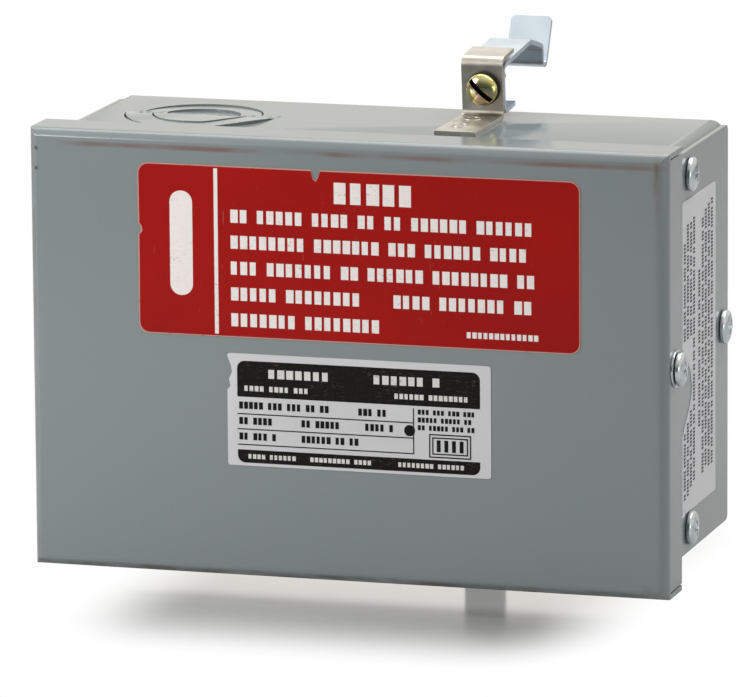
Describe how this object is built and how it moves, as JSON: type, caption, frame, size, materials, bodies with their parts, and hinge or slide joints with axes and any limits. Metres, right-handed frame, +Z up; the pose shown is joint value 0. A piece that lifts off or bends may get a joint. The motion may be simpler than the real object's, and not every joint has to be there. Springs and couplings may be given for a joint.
{
  "type": "busway tap off box",
  "caption": "Grey sheet-steel plug-in box that taps power off a small busway: it plugs in at the back, hooks on below and clamps on with a screwed hook above.",
  "frame": {"origin": "centre of the plug in the plane of the box's back, which lies on the busway's face", "axes": "+X to the right as seen from the front, +Y back into the busway, +Z up"},
  "size_m": [0.1877, 0.1105, 0.1533],
  "materials": {
    "grey_enamel": "semi-gloss baked enamel",
    "zinc_screw": "zinc plated",
    "dull_zinc": "dull zinc plated",
    "bright_zinc": "bright zinc plated",
    "yellow_zinc": "yellow passivated zinc",
    "dark_steel": "blackened spring steel",
    "phenolic": "moulded phenolic",
    "copper": "rolled copper",
    "tinned_lug": "tin plated",
    "green_screw": "green dyed zinc",
    "red_vinyl": "printed vinyl sticker",
    "plate_vinyl": "printed foil sticker",
    "paper": "coated paper sticker"
  },
  "bodies": {
    "enclosure": {"body_shell": "grey_enamel", "left_end_plate": "grey_enamel", "right_end_plate": "grey_enamel", "left_plate_screws": "zinc_screw", "right_plate_screws": "zinc_screw", "cover_screw": "zinc_screw", "cover_washer": "zinc_screw", "clamp_bracket": "dull_zinc", "clamp_washer": "dark_steel", "lower_hook": "dull_zinc", "plug_head": "phenolic", "plug_head_screws": "zinc_screw", "phase_blade_a": "copper", "phase_blade_b": "copper", "phase_blade_c": "copper", "ground_blade": "copper", "phase_strap_a": "copper", "phase_strap_b": "copper", "phase_strap_c": "copper", "strap_screws": "zinc_screw", "terminal_block": "phenolic", "terminal_block_screws": "zinc_screw", "terminal_lug_a": "tinned_lug", "terminal_lug_b": "tinned_lug", "terminal_lug_c": "tinned_lug", "lug_screws": "zinc_screw", "ground_strap": "copper", "ground_lug": "tinned_lug", "ground_screws": "green_screw", "side_sticker": "paper"},
    "cover": {"front_cover": "grey_enamel", "red_sticker": "red_vinyl", "rating_plate": "plate_vinyl"},
    "clamp_hook": {"clamp_hook": "bright_zinc"},
    "clamp_screw": {"clamp_screw": "yellow_zinc"}
  },
  "joints": [
    {"name": "cover_swing", "type": "hinge", "parent": "enclosure", "child": "cover", "pos_m": [-0.1129, -0.0585, 0], "axis": [0, 0, -1], "range_deg": [0, 55]},
    {"name": "screw_turn", "type": "hinge", "parent": "enclosure", "child": "clamp_screw", "pos_m": [0.0004, -0.01859, 0.06732], "axis": [0, -0.9954, -0.0958], "range_deg": [0, 2160]},
    {"name": "hook_slide", "type": "slide", "parent": "enclosure", "child": "clamp_hook", "axis": [0, 0.9954, 0.0958], "range_m": [0, 0.00634]}
  ],
  "couplings": [
    {"joint": "screw_turn", "follows": "hook_slide", "rad_per_m": 5938.7}
  ]
}
